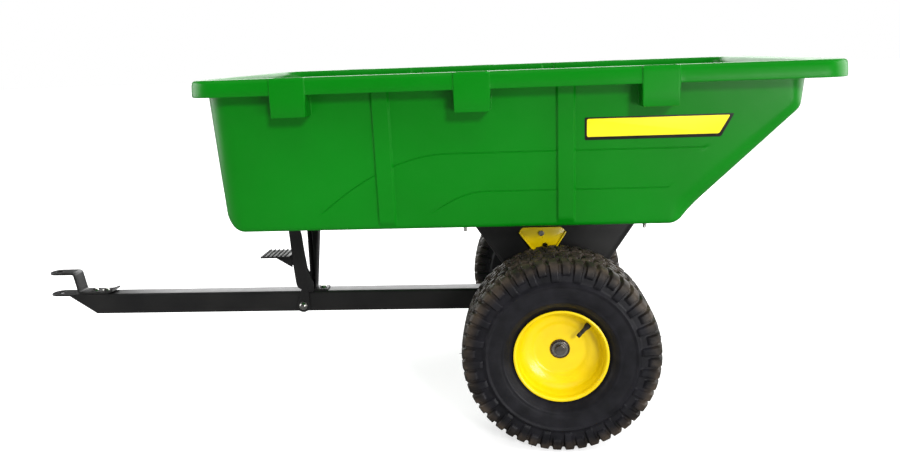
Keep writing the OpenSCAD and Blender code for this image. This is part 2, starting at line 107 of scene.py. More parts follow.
def light_the_studio():
    """A white backdrop seen directly, a dim surround for shading and a darker one for reflections,
    a frontal key light, a wide top light, and bright sheets beside and behind the cart."""
    world = bpy.data.worlds.new("studio")
    world.use_nodes = True
    nodes, links = world.node_tree.nodes, world.node_tree.links
    nodes.clear()
    path = nodes.new("ShaderNodeLightPath")
    seen = None
    for ray, level in ((None, 0.20), ("Is Glossy Ray", 0.04), ("Is Camera Ray", 1.0)):
        glow = nodes.new("ShaderNodeBackground")
        glow.inputs["Color"].default_value = (level, level, level, 1)
        if ray:
            mix = nodes.new("ShaderNodeMixShader")
            links.new(path.outputs[ray], mix.inputs["Fac"])
            links.new(seen, mix.inputs[1])
            links.new(glow.outputs[0], mix.inputs[2])
            seen = mix.outputs[0]
        else:
            seen = glow.outputs[0]
    out = nodes.new("ShaderNodeOutputWorld")
    links.new(seen, out.inputs["Surface"])
    bpy.context.scene.world = world
    bpy.context.scene.view_settings.view_transform = "Standard"
    add_lamp("key", "SUN", (1.3, -3.0, 1.35), (0, 0, 0), 2.2, radians(10), mirrored_in_gloss=False)
    add_lamp("top", "SUN", (0.3, -0.4, 4.0), (0, 0, 0), 2.8, radians(80), mirrored_in_gloss=False)
    add_lamp("front_card", "AREA", (AXLE_X + 1.5, -2.6, 0.45), (AXLE_X + 0.3, -0.4, 0.7), 26, (1.2, 0.7))
    add_lamp("left_sheet", "AREA", (-3.0, 0.2, 1.1), (-0.6, 0, 0.6), 60, (2.6, 2.0))
    add_lamp("right_sheet", "AREA", (3.0, 0.2, 1.1), (0.6, 0, 0.6), 60, (2.6, 2.0))
    add_lamp("rear_sheet", "AREA", (0.2, 3.0, 1.5), (0.0, 0, 0.7), 105, (5.0, 2.2))


# ---- Finishes ----

class Finish:
    """A procedural finish: a principled shader whose noise patterns sit on object coordinates."""

    def __init__(self, name, rough, metallic=0.0, coat=0.0, specular=0.5):
        self.material = bpy.data.materials.new(name)
        self.material.use_nodes = True
        self.tree = self.material.node_tree
        self.shader = self.tree.nodes["Principled BSDF"]
        self.set("Roughness", rough)
        self.set("Metallic", metallic)
        self.set("Coat Weight", coat)
        self.set("Coat Roughness", 0.12)
        self.set("Specular IOR Level", specular)
        self.place = self.node("ShaderNodeTexCoord").outputs["Object"]

    def set(self, socket, value):
        self.shader.inputs[socket].default_value = value

    def node(self, kind, **settings):
        made = self.tree.nodes.new(kind)
        for key, value in settings.items():
            setattr(made, key, value)
        return made

    def link(self, a, b):
        self.tree.links.new(a, b)

    def stretched(self, scale):
        """The object's coordinates, stretched along each axis."""
        mapping = self.node("ShaderNodeMapping")
        mapping.inputs["Scale"].default_value = scale
        self.link(self.place, mapping.inputs["Vector"])
        return mapping.outputs["Vector"]

    def noise(self, scale, detail=3.0, place=None):
        made = self.node("ShaderNodeTexNoise")
        made.inputs["Scale"].default_value = scale
        made.inputs["Detail"].default_value = detail
        self.link(place or self.place, made.inputs["Vector"])
        return made.outputs["Fac"]

    def ramp(self, value, low, high, first=(0, 0, 0), last=(1, 1, 1)):
        """A value turned into a colour between two tints as it goes from low to high."""
        made = self.node("ShaderNodeValToRGB")
        ends = made.color_ramp.elements
        ends[0].position, ends[1].position = low, high
        ends[0].color, ends[1].color = (*first, 1), (*last, 1)
        self.link(value, made.inputs["Fac"])
        return made.outputs["Color"]

    def mix(self, factor, first, second):
        made = self.node("ShaderNodeMix", data_type="RGBA")
        self.link(factor, made.inputs["Factor"])
        for socket, value in ((made.inputs[6], first), (made.inputs[7], second)):
            if isinstance(value, tuple):
                socket.default_value = (*value, 1)
            else:
                self.link(value, socket)
        return made.outputs[2]

    def distance_from_axle(self):
        """Metres from the axle's centreline."""
        apart = self.node("ShaderNodeVectorMath", operation="SUBTRACT")
        apart.inputs[1].default_value = (AXLE_X, 0, AXLE_Z * MM)
        flat = self.node("ShaderNodeVectorMath", operation="MULTIPLY")
        flat.inputs[1].default_value = (1, 0, 1)
        length = self.node("ShaderNodeVectorMath", operation="LENGTH")
        self.link(self.place, apart.inputs[0])
        self.link(apart.outputs[0], flat.inputs[0])
        self.link(flat.outputs[0], length.inputs[0])
        return length.outputs["Value"]

    def color(self, socket):
        self.link(socket, self.shader.inputs["Base Color"])
        return self

    def rough(self, value, low, high):
        made = self.node("ShaderNodeMapRange")
        made.inputs["To Min"].default_value = low
        made.inputs["To Max"].default_value = high
        self.link(value, made.inputs["Value"])
        self.link(made.outputs[0], self.shader.inputs["Roughness"])
        return self

    def bumps(self, *layers):
        """Bump layers as (height, strength, depth in metres), each laid over the one before."""
        normal = None
        for height, strength, depth in layers:
            made = self.node("ShaderNodeBump")
            made.inputs["Strength"].default_value = strength
            made.inputs["Distance"].default_value = depth
            self.link(height, made.inputs["Height"])
            if normal:
                self.link(normal, made.inputs["Normal"])
            normal = made.outputs["Normal"]
        self.link(normal, self.shader.inputs["Normal"])
        return self


def green_poly():
    """Moulded green plastic: broad faint mottling, long pale scuffs and a fine grain."""
    f = Finish("green_poly", 0.36, specular=0.22)
    broad = f.ramp(f.noise(3.5), 0.3, 0.7, (0.0003, 0.152, 0.0026), (0.0005, 0.182, 0.0044))
    scuffs = f.ramp(f.noise(60, 8, f.stretched((0.25, 1, 3))), 0.70, 0.86)
    f.color(f.mix(scuffs, broad, (0.004, 0.24, 0.014)))
    f.rough(f.noise(26, 6), 0.28, 0.44)
    return f.bumps((f.noise(520, 2), 0.22, 0.00035), (f.noise(9, 2), 0.10, 0.004))


def yellow_paint():
    """Glossy yellow enamel with slight orange peel."""
    f = Finish("yellow_paint", 0.3, coat=0.3)
    f.color(f.ramp(f.noise(14, 4), 0.25, 0.75, (0.70, 0.49, 0.0009), (0.80, 0.61, 0.0014)))
    f.rough(f.noise(70, 5), 0.24, 0.40)
    return f.bumps((f.noise(900, 2), 0.12, 0.0002), (f.noise(75, 3), 0.08, 0.001))


def black_coat():
    """Black powder coat with a little dust and pale specks."""
    f = Finish("black_coat", 0.36, specular=0.5)
    dust = f.ramp(f.noise(11, 6), 0.35, 0.8, (0.0075, 0.0075, 0.0078), (0.0140, 0.0135, 0.0130))
    specks = f.ramp(f.noise(330, 4), 0.70, 0.78)
    f.color(f.mix(specks, dust, (0.034, 0.033, 0.031)))
    f.rough(f.noise(45, 5), 0.28, 0.42)
    return f.bumps((f.noise(1400, 2), 0.35, 0.0002), (f.noise(260, 3), 0.15, 0.0004))


def tyre_rubber():
    """Black sidewalls whose lighter bluish mottle is painted sheen, and dusty brown tread, told apart by the
    distance from the axle.
    """
    f = Finish("tyre_rubber", 0.5, specular=0.34)
    away = f.distance_from_axle()
    dust_and_sheen = f.noise(38, 7)
    # The sidewall's lighter bluish patches are painted sheen; the tread's brown patches are dust.
    wall = f.ramp(dust_and_sheen, 0.3, 0.75, (0.0050, 0.0050, 0.0064), (0.0120, 0.0116, 0.0150))
    tread = f.ramp(dust_and_sheen, 0.35, 0.7, (0.0120, 0.0100, 0.0085), (0.058, 0.043, 0.030))
    f.color(f.mix(f.ramp(away, 0.178, 0.196), wall, tread))
    f.rough(f.noise(90, 5), 0.34, 0.60)
    return f.bumps((f.noise(1100, 4), 0.30, 0.0003), (f.noise(160, 4), 0.18, 0.0006))


def plated(name, tints, rough, brush=(1, 1, 1), grain=240):
    """Plated or turned steel: metal with a fine grain drawn out along one axis."""
    f = Finish(name, sum(rough) / 2, metallic=1.0)
    f.color(f.ramp(f.noise(120, 5), 0.3, 0.72, *tints))
    f.rough(f.noise(grain, 4, f.stretched(brush)), *rough)
    return f.bumps((f.noise(grain * 3, 3, f.stretched(brush)), 0.12, 0.0002))


def rubber(name, tints, rough, grain=700):
    """Dull rubber or plastic with a fine grain."""
    f = Finish(name, sum(rough) / 2, specular=0.35)
    f.color(f.ramp(f.noise(90, 5), 0.3, 0.75, *tints))
    f.rough(f.noise(120, 4), *rough)
    return f.bumps((f.noise(grain, 3), 0.3, 0.0003))


def printed(name, tints):
    """Printed film: smooth and a little glossy, with faint waves where it follows the wall."""
    f = Finish(name, 0.4, specular=0.3)
    f.color(f.ramp(f.noise(25, 4), 0.3, 0.75, *tints))
    f.rough(f.noise(60, 4), 0.36, 0.50)
    return f.bumps((f.noise(40, 2), 0.08, 0.0008), (f.noise(600, 2), 0.05, 0.0002))


FINISHES = {
    "green_poly": green_poly(),
    "yellow_paint": yellow_paint(),
    "black_coat": black_coat(),
    "tyre_rubber": tyre_rubber(),
    "zinc": plated("zinc", ((0.52, 0.51, 0.49), (0.80, 0.79, 0.74)), (0.20, 0.38)),
    "bare_steel": plated("bare_steel", ((0.30, 0.28, 0.27), (0.50, 0.48, 0.46)), (0.26, 0.42), (1, 6, 1)),
    "hub_steel": plated("hub_steel", ((0.15, 0.11, 0.085), (0.28, 0.22, 0.175)), (0.34, 0.52), (1, 6, 1)),
    "bearing_steel": plated("bearing_steel", ((0.30, 0.27, 0.26), (0.52, 0.48, 0.46)), (0.22, 0.36)),
    "pad_rubber": rubber("pad_rubber", ((0.014, 0.014, 0.014), (0.032, 0.031, 0.030)), (0.6, 0.8)),
    "valve_rubber": rubber("valve_rubber", ((0.012, 0.012, 0.012), (0.026, 0.025, 0.025)), (0.5, 0.7)),
    "cap_plastic": rubber("cap_plastic", ((0.010, 0.010, 0.010), (0.022, 0.022, 0.022)), (0.34, 0.5), 1200),
    "decal": printed("decal", ((0.80, 0.69, 0.008), (0.86, 0.76, 0.014))),
    "decal_edge": printed("decal_edge", ((0.008, 0.008, 0.008), (0.016, 0.015, 0.015))),
}


# ---- Surfaces ----

def quads(rows, cols, wrap_rows=False, wrap_cols=False):
    """The four corners of every cell of a grid whose points are numbered row by row."""
    r = np.arange(rows if wrap_rows else rows - 1)[:, None]
    c = np.arange(cols if wrap_cols else cols - 1)[None, :]
    across, up = (c + 1) % cols, (r + 1) % rows
    corners = r * cols + c, r * cols + across, up * cols + across, up * cols + c
    cell = np.stack(np.broadcast_arrays(*corners), -1)
    return cell.reshape(-1, 4).tolist()


def loft(points, wrap_rows=False, caps=True):
    """Loops of points, one per row, joined by quads; the end loops are closed by a flat face."""
    rows, cols, _ = points.shape
    faces = quads(rows, cols, wrap_rows, True)
    if caps and not wrap_rows:
        faces.append(list(range(cols)))
        faces.append([(rows - 1) * cols + i for i in range(cols)])
    return points.reshape(-1, 3), faces


def joined(*surfaces):
    """Several surfaces as one list of points and one list of faces."""
    points, faces, start = [], [], 0
    for p, f in surfaces:
        points.append(p)
        faces += [[i + start for i in face] for face in f]
        start += len(p)
    return np.vstack(points), faces


def mirrored(surface, side):
    """A surface drawn on the left, on the side that is asked for."""
    points, faces = surface
    return points * (1, SIDES[side], 1), faces


def both(surface):
    """A surface drawn on the left, on both sides."""
    return joined(mirrored(surface, "left"), mirrored(surface, "right"))


def soften(corners, reach, closed=True, steps=6):
    """Each corner of a polyline becomes the quadratic curve that leaves one side a reach before
    the corner and meets the next side a reach after it."""
    p = np.asarray(corners, float)
    back, on = np.roll(p, 1, 0) - p, np.roll(p, -1, 0) - p
    back_length, on_length = (np.linalg.norm(v, axis=1, keepdims=True) for v in (back, on))
    r = np.broadcast_to(np.reshape(np.asarray(reach, float), (-1, 1)), (len(p), 1))
    a = p + back / back_length * np.minimum(r, back_length * 0.48)
    b = p + on / on_length * np.minimum(r, on_length * 0.48)
    t = np.linspace(0, 1, steps)[None, :, None]
    curve = (1 - t) ** 2 * a[:, None] + 2 * t * (1 - t) * p[:, None] + t * t * b[:, None]
    if closed:
        return curve.reshape(-1, 2)
    return np.vstack([p[:1], curve[1:-1].reshape(-1, 2), p[-1:]])


def shrunk(outline, by):
    """A closed outline moved inwards: each point goes along the mean of its two sides' normals."""
    p = np.asarray(outline, float)
    back, on = p - np.roll(p, 1, 0), np.roll(p, -1, 0) - p
    n1, n2 = (np.stack([v[:, 1], -v[:, 0]], 1) / np.linalg.norm(v, axis=1, keepdims=True) for v in (back, on))
    turned = np.sign((p[:, 0] * np.roll(p[:, 1], -1) - p[:, 1] * np.roll(p[:, 0], -1)).sum())
    return p - turned * by * (n1 + n2) / (1 + (n1 * n2).sum(1, keepdims=True))


def strip(path, thick):
    """The outline of a bent sheet: its middle line moved half the thickness to either side."""
    p = np.asarray(path, float)
    along = np.gradient(p, axis=0)
    normal = np.stack([-along[:, 1], along[:, 0]], 1) / np.linalg.norm(along, axis=1, keepdims=True)
    return np.vstack([p + normal * thick / 2, (p - normal * thick / 2)[::-1]])


def stand_up(flat, level, along):
    """Points of a flat outline set at a level on the axis that it is extruded along."""
    h = np.full(len(flat), float(level))
    a, b = flat[:, 0], flat[:, 1]
    return np.stack({"X": (h, a, b), "Y": (a, h, b), "Z": (a, b, h)}[along], -1)


def slab(outline, low, high, along="Y", edge=0.7, far=None):
    """An outline carried along an axis from low to high, towards a second outline if one is given;
    the loops next to the ends are a little smaller, which rounds the edges."""
    near, far = np.asarray(outline, float), np.asarray(outline if far is None else far, float)
    loops = [
        (shrunk(near, edge), low), (shrunk(near, edge * 0.3), low + edge * 0.3), (near, low + edge),
        (far, high - edge), (shrunk(far, edge * 0.3), high - edge * 0.3), (shrunk(far, edge), high)]
    return loft(np.stack([stand_up(flat, level, along) for flat, level in loops]))


def arc(centre, radius, first, last, count):
    """Points on a circle, evenly from a first to a last angle in degrees."""
    turn = np.radians(np.linspace(first, last, count))
    return np.stack([centre[0] + radius * np.cos(turn), centre[1] + radius * np.sin(turn)], 1)


def ring_about(axis, steps):
    """Angles in equal steps, the unit vectors they give square to an axis, and the unit axis."""
    up = Vector(axis).normalized()
    side = up.orthogonal().normalized()
    other = up.cross(side)
    turn = np.linspace(0, 2 * pi, steps, endpoint=False)
    ring = np.cos(turn)[:, None] * np.array(side) + np.sin(turn)[:, None] * np.array(other)
    return turn, ring, np.array(up)


def turned(profile, centre=(0, 0, 0), axis=(0, 0, 1), steps=48, closed=False):
    """A profile of (radius, height) points turned about an axis through centre."""
    rings = np.asarray(profile, float)[:, :, None, None]
    _, ring, up = ring_about(axis, steps)
    return loft(rings[:, 0] * ring + rings[:, 1] * up + np.array(centre, float), wrap_rows=closed)


def pierced_plate(centre, hole, reach, low, high, steps=96, edge=0.6):
    """A flat plate round a hole: a section with rounded edges turned about the hole, whose outer
    radius follows reach(angle)."""
    turn = np.linspace(0, 2 * pi, steps, endpoint=False)
    out = reach(turn)
    section = [(0, 0, low + edge), (0, edge, low), (1, -edge, low), (1, 0, low + edge),
               (1, 0, high - edge), (1, -edge, high), (0, edge, high), (0, 0, high - edge)]
    rings = [np.stack([centre[0] + r * np.cos(turn), centre[1] + r * np.sin(turn), np.full(steps, z)], -1)
             for share, inset, z in section for r in [hole + share * (out - hole) + inset]]
    return loft(np.stack(rings), wrap_rows=True)


def hexagon(radius, places, centre, axis, steps=48):
    """A hexagon head or nut: rings whose radius is the hexagon's, cut round where the rings are
    limited to a smaller circle; places are (limit, height)."""
    turn, ring, up = ring_about(axis, steps)
    flat = radius * cos(pi / 6) / np.cos((turn + pi / 6) % (pi / 3) - pi / 6)
    rows = [np.minimum(flat, limit)[:, None] * ring + height * up + np.array(centre, float)
            for limit, height in places]
    return loft(np.stack(rows))


def rod_along(path, radius, sides=10):
    """A round wire: a circle carried along a path, turned with the path's direction."""
    p = np.asarray(path, float)
    ahead = np.gradient(p, axis=0)
    ahead /= np.linalg.norm(ahead, axis=1, keepdims=True)
    guide = np.where(np.abs(ahead[:, 1:2]) < 0.9, [[0.0, 1, 0]], [[1.0, 0, 0]])
    side = np.cross(guide, ahead)
    side /= np.linalg.norm(side, axis=1, keepdims=True)
    other = np.cross(ahead, side)
    turn = np.linspace(0, 2 * pi, sides, endpoint=False)
    wide = np.broadcast_to(np.reshape(radius, (-1, 1, 1)), (len(p), 1, 1))
    ring = np.cos(turn)[None, :, None] * side[:, None] + np.sin(turn)[None, :, None] * other[:, None]
    return loft(p[:, None] + wide * ring)


def add_piece(name, surface, finish, body, stands_for=(), sharp=38):
    """A piece in the row frame, smooth but for edges sharper than an angle in degrees."""
    points, faces = surface
    mesh = bpy.data.meshes.new(name)
    mesh.from_pydata((np.asarray(points) * MM + (AXLE_X, 0, 0)).tolist(), [], faces)
    form = bmesh.new()
    form.from_mesh(mesh)
    bmesh.ops.recalc_face_normals(form, faces=form.faces)
    form.to_mesh(mesh)
    form.free()
    mesh.shade_smooth()
    mesh.set_sharp_from_angle(angle=radians(sharp))
    mesh.materials.append(FINISHES[finish].material)
    piece = bpy.data.objects.new(name, mesh)
    bpy.context.scene.collection.objects.link(piece)
    if body:
        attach(piece, body)
    if stands_for:
        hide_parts(*stands_for)
    return piece


def refinish(node, finish):
    """A CAD node that keeps its shape takes a procedural finish."""
    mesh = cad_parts[node].data
    mesh.materials.clear()
    mesh.materials.append(FINISHES[finish].material)


# ---- Tub ----

FLOOR = {"front": 665.0, "rear": 228.0, "side": 286.0}
BALL = 45.0
BALL_Z = FLOOR_LOW + BALL
WALL = 5.0
WALL_TOP = {"front": 722.0, "rear": 494.0, "side": 365.0}
RIM_OUT = {"front": 743.0, "rear": 560.0, "side": 403.0}
WALL_CORNER, RIM_CORNER = 55.0, 62.0
KNEE = (459.0, 705.0, 20.0)
EDGE = (318.0, 476.0, 12.0)
POCKETS = (-531.6, -167.2, 195.8)
POCKET_HALF, SLOT_HALF = 35.5, 29.5
POCKET_LOW = 711.0
RIBS = (-355.0, 17.0)
RIB_HALF, RIB_HIGH = 17.5, 6.0


def reach(z, rounds, top):
    """How far a wall stands out at heights z: the least of the wall's supporting lines, over all
    directions, where each line touches the furthest of the wall's rounds and its top edge."""
    turn = np.radians(np.linspace(-89.9, 80, 3400))[None, :]
    c, s = np.cos(turn), np.sin(turn)
    support = np.maximum.reduce([x * c + y * s + r for x, y, r in [*rounds, (*top, 0)]])
    return ((support - z[:, None] * s) / c).min(1)


def ease(t):
    """A smooth step from 0 to 1."""
    t = np.clip(t, 0, 1)
    return t * t * (3 - 2 * t)


def pulse(x, middles, half, soft):
    """1 within half of each middle and 0 outside, with sides that rise over twice soft."""
    return sum(ease((x - m + half + soft) / (2 * soft)) * ease((m + half + soft - x) / (2 * soft))
               for m in middles)


class TubForm:
    """The tub's plan at any height: front, rear and side reach, corner radii, and how much the
    rear corner is drawn out where it runs down the dumping ramp."""

    def __init__(self, inset):
        z = np.linspace(FLOOR_LOW + inset, RIM_TOP, 700)
        ball = BALL - inset
        extra = {"front": [], "rear": [(*KNEE[:2], KNEE[2] - inset)], "side": [(*EDGE[:2], EDGE[2] - inset)]}
        self.z = z
        self.front, self.rear, self.side = (
            reach(z, [(FLOOR[k], BALL_Z, ball), *extra[k]], (WALL_TOP[k] - inset, RIM_TOP)) for k in FLOOR)
        low = np.sqrt(np.clip(ball ** 2 - np.clip(BALL_Z - z, 0, ball) ** 2, 1, None))
        rise = np.clip((z - BALL_Z) / (RIM_TOP - BALL_Z), 0, 1)
        to_knee = np.clip((z - BALL_Z) / (KNEE[1] - BALL_Z), 0, 1)
        over_knee = np.clip((z - KNEE[1]) / (RIM_TOP - KNEE[1]), 0, 1)
        self.front_corner = low + 10 * rise
        self.rear_corner = low - 20 * to_knee + 30 * over_knee
        self.stretch = 1 + 0.5 * ease((z - FLOOR_LOW - 8) / 50) * (1 - ease((z - 688) / 30))

    def plan(self, z):
        return [np.interp(z, self.z, v) for v in
                (self.front, self.rear, self.side, self.front_corner, self.rear_corner, self.stretch)]


def tub_columns():
    """Places along the half outline, from the middle of the front to the middle of the rear:
    the kind of stretch (0 front, 1 corner, 2 side, 3 corner, 4 rear) and the place on it."""
    edges = ((POCKETS, POCKET_HALF, [-2, -1, -0.35, 0.35, 1, 2]),
             (POCKETS, SLOT_HALF, [-1.2, -0.4, 0.4, 1.2]),
             (RIBS, RIB_HALF, [-4, -2.4, -0.9, 0.9, 2.4, 4]))
    marks = np.sort(np.concatenate([
        np.add.outer(np.add.outer(np.array(middles), [-half, half]), steps).ravel()
        for middles, half, steps in edges]))
    fill = np.arange(-680.0, 500, 13)
    fill = fill[np.abs(fill[:, None] - marks[None]).min(1) > 5]
    side = np.sort(np.concatenate([marks, fill]))
    corner = np.radians(np.linspace(0, 90, 13))
    across = np.linspace(0, 1, 15)
    kind = np.repeat([0, 1, 2, 3, 4], [14, 12, len(side), 12, 14])
    place = np.concatenate([across[:-1], corner[:-1], side, corner[1:], across[1:]])
    return kind, place


def outline_points(kind, place, z, front, rear, side, front_corner, rear_corner, stretch):
    """The half outline's points. Straight stretches run between the corners; a corner is a quarter
    circle or, on the ramp, a quarter ellipse; side columns keep their place where there is room."""
    start, end = -front + front_corner, rear - stretch * rear_corner
    first, last = place[kind == 2][0], place[kind == 2][-1]
    hold_front, hold_rear = -590.0, np.minimum(250.0, end - 60)
    on_side = np.where(
        place < hold_front, start + (place - first) / (hold_front - first) * (hold_front - start),
        np.where(place > hold_rear,
                 hold_rear + (place - hold_rear) / (last - hold_rear) * (end - hold_rear), place))
    run_front, run_rear = side - front_corner, side - rear_corner
    turn = np.where((kind == 1) | (kind == 3), place, 0)
    c, s = np.cos(turn), np.sin(turn)
    zero = np.zeros_like(side)
    x = np.select([kind == 0, kind == 1, kind == 2, kind == 3],
                  [zero - front, start - front_corner * c, on_side, end + stretch * rear_corner * s], rear)
    y = np.select([kind == 0, kind == 1, kind == 2, kind == 3],
                  [-run_front * place, -run_front - front_corner * s, -side, -run_rear - rear_corner * c],
                  -run_rear * (1 - place))
    return np.stack([x, y, z + zero], -1)


def crease_heights(x):
    """Heights of the two creases pressed into the side wall: flat to the rear, and falling away
    towards the front as a power of the distance."""
    upper = 624 - 129 * (np.clip(-222 - x, 0, None) / 279) ** 1.9
    lower = 542.5 - 45 * (np.clip(-152 - x, 0, None) / 108) ** 1.8
    return np.maximum(lower, 497), np.maximum(upper, 503)


def outer_wall(kind, place):
    """Rows of the outside from the floor's edge to just under the rim. Rows bend to follow the two
    creases, each of which is a shallow groove, and the ribs stand out of the wall."""
    x = np.where(kind == 2, place, np.where(kind < 2, -680.0, 480.0))
    low, high = crease_heights(x)
    ones = np.ones_like(x)
    angles = np.radians([7, 13, 19, 25, 31, 37, 43, 51, 60, 67])
    rows = [(BALL_Z - BALL * cos(a)) * ones for a in angles]
    groove = ((-1.7, 0.0), (-0.6, 1.0), (0.6, 1.0), (1.7, 0.0))
    cut = [0 * ones for _ in rows]
    fade_low = ease((x + 268) / 30) * (1 - ease((x - 296) / 12))
    fade_high = ease((x + 506) / 25) * (1 - ease((x - 342) / 12))
    for crease, fade, before in ((low, fade_low, 4), (high, fade_high, 8)):
        start = rows[-1]
        for i in range(1, before):
            rows.append(start + (crease - 1.7 - start) * i / before)
            cut.append(0 * ones)
        for offset, depth in groove:
            rows.append(crease + offset)
            cut.append(1.3 * depth * fade)
    start = rows[-1]
    for i in range(1, 14):
        rows.append(start + (700 - start) * i / 13)
        cut.append(0 * ones)
    for z in (705, 711, 717, 725, 735, 747, 760, 772):
        rows.append(z * ones)
        cut.append(0 * ones)
    z, cut = np.array(rows), np.array(cut)
    front, rear, side, *corners = TubForm(0).plan(z)
    rib = pulse(place, RIBS, RIB_HALF, 2.2) * (kind == 2) * ease((z - 470) / 14)
    side = side + RIB_HIGH * rib - cut * (kind == 2) * (1 - np.minimum(rib, 1))
    return outline_points(kind, place, z, front, rear, side, *corners)


def inner_wall(kind, place):
    """Rows of the inside from under the rim's inner edge down to the floor, with a hollow behind
    each rib."""
    angles = np.radians([80, 68, 56, 46, 38, 31, 24, 17, 10])
    z = np.concatenate([np.linspace(780, 508, 36), BALL_Z - (BALL - WALL) * np.cos(angles)])[:, None]
    z = z + np.zeros(len(place))
    front, rear, side, *corners = TubForm(WALL).plan(z)
    rib = pulse(place, RIBS, RIB_HALF - 2, 2.2) * (kind == 2) * ease((z - 476) / 14)
    return outline_points(kind, place, z, front, rear, side + (RIB_HIGH - 0.5) * rib, *corners)


# The rim's section: what a point is measured from, how far outside of it, and its height
RIM_UNDER = [("wall", 0.6, 778.5), ("wall", 3, 782.4), ("rim", -17, 783), ("rim", -7.5, 783),
             ("rim", -5.5, 781.4), ("rim", -5, 778.5), ("rim", -4.6, 757.5), ("rim", -3.8, 755.8),
             ("rim", -2.4, 755)]
RIM_OUTSIDE = [("rim", -0.8, 755.4), ("rim", 0, 757.5), ("rim", -0.3, 768), ("rim", -0.9, 778),
               ("rim", -2.1, 783.6), ("rim", -4.6, 787.2), ("rim", -8, 788.8), ("rim", -10.5, 789)]
POCKET_OUTSIDE = [(404.8, 711.3), (405.9, 713.6), (406, 740), (405.6, 776), (405, 783.2),
                  (404.1, 786.9), (402.9, 788.7), (402.1, 789)]
SLOT = [(401.3, 788.7), (401, 787), (401, 720), (399, 716), (371, 716), (369, 720), (369, 787),
        (368.7, 788.7)]
SLOT_LANDS = [401.5, 401.1, 400.6, 399, 371, 369.6, 369.1, 368.7]
RIM_INSIDE = [(2, 789), (-0.6, 788.5), (-3, 786.6), (-4.6, 783.4)]


def rim_rows(kind, place):
    """The hanging rim between the outer and the inner wall. Across a stake pocket the section
    changes to the pocket's: its floor, its proud outside and the slot for the stake."""
    pocket = pulse(place, POCKETS, POCKET_HALF, 1.3) * (kind == 2)
    slot = pulse(place, POCKETS, SLOT_HALF, 0.8) * (kind == 2)
    rib = pulse(place, RIBS, RIB_HALF, 2.2) * (kind == 2) * RIB_HIGH
    ones = np.ones_like(place)

    def row(base, out, z, pocket_side, pocket_z, share=None):
        """A row of the rim's section: where it lies along the rim and where across a pocket."""
        if base == "wall":
            size = [WALL_TOP[k] + out for k in FLOOR] + [WALL_CORNER + out] * 2
            size[2] = size[2] + rib
        elif base == "rim":
            size = [RIM_OUT[k] + out for k in FLOOR] + [RIM_CORNER + out] * 2
        else:
            outer, inner = -10.5, 4.0
            size = [(RIM_OUT[k] + outer) * (1 - share) + (WALL_TOP[k] + inner) * share
                    for k in FLOOR]
            size[2] = size[2] + rib * share
            size += [RIM_CORNER + outer - 3 * share] * 2
        front, rear, side, c1, c2 = (v * ones for v in size)
        side = side + (pocket_side - side) * pocket
        height = z + (pocket_z - z) * pocket
        return outline_points(kind, place, height, front, rear, side, c1, c2, ones)

    under = [row(*step, 362 + 41.5 * (i + 1) / len(RIM_UNDER), POCKET_LOW)
             for i, step in enumerate(RIM_UNDER)]
    outside = [row(*step, *other) for step, other in zip(RIM_OUTSIDE, POCKET_OUTSIDE)]
    top = []
    for i, (y, z) in enumerate(SLOT):
        share = (i + 1) / (len(SLOT) + 1)
        land = SLOT_LANDS[i] + (y - SLOT_LANDS[i]) * slot
        top.append(row("top", 0, 789, land, 789 + (z - 789) * slot, share))
    inside = [row("wall", out, z, WALL_TOP["side"] + out, z) for out, z in RIM_INSIDE]
    return np.array(under + outside + top + inside)


def tub():
    """One skin carried all round: up the outside, over the rim and down the inside. Half the
    outline is worked out and mirrored, and the floor's two faces join the halves."""
    kind, place = tub_columns()
    outer = outer_wall(kind, place)
    pocket = (pulse(place, POCKETS, POCKET_HALF, 1.3) * (kind == 2))[None, :]
    folded = (outer[:, :, 2] > POCKET_LOW + 0.5)
    count = folded[:, 0].sum()
    order = np.cumsum(folded, 0) / (count + 1)
    outer[:, :, 2] = np.where(folded, outer[:, :, 2] + (POCKET_LOW - outer[:, :, 2]) * pocket, outer[:, :, 2])
    shelf = -(355.6 + 6 * order)
    outer[:, :, 1] = np.where(folded, outer[:, :, 1] + (shelf - outer[:, :, 1]) * pocket, outer[:, :, 1])
    half = np.vstack([outer, rim_rows(kind, place), inner_wall(kind, place)])
    other = half[:, -2:0:-1] * (1, -1, 1)
    points = np.concatenate([half, other], 1)
    rows, cols, _ = points.shape
    faces = quads(rows, cols, False, True)
    n = half.shape[1]
    for base in (0, (rows - 1) * cols):
        left = [base + i for i in range(n)]
        right = [base] + [base + cols - i for i in range(1, n - 1)] + [base + n - 1]
        faces += [[a for a in dict.fromkeys((left[i], left[i + 1], right[i + 1], right[i]))]
                  for i in range(n - 1)]
    return points.reshape(-1, 3), faces


add_piece("tub_shell", tub(), "green_poly", "tub", ["tub"])


# ---- Side decals ----

def decal_plate(corners, thick, side):
    """A film whose outline is drawn along the wall as X and height, leaning with the wall."""
    lean = (WALL_TOP["side"] - EDGE[0] - EDGE[2]) / (RIM_TOP - EDGE[1])
    outline = soften(corners, 3.5, steps=5)
    points, faces = slab(outline, -thick, 0, "Y", edge=0.12)
    points[:, 1] -= WALL_TOP["side"] - (RIM_TOP - points[:, 2]) * lean
    return mirrored((points, faces), side)


for side in SIDES:
    edge = [(54.5, 644), (322.7, 644), (346.6, 690), (54.5, 690)]
    band = [(59, 650.5), (318.6, 650.5), (338.6, 687), (59, 687)]
    add_piece("decal_edge_" + side, decal_plate(edge, 0.45, side), "decal_edge", "tub",
              ["side_decal_" + side])
    add_piece("decal_band_" + side, decal_plate(band, 0.65, side), "decal", "tub")


# ---- Tyres ----

WHEEL_Y = 333
TYRE_LUGS = 48
LUG_STEPS = 16
TREAD_DEPTH, SHOULDER = 6.4, 192


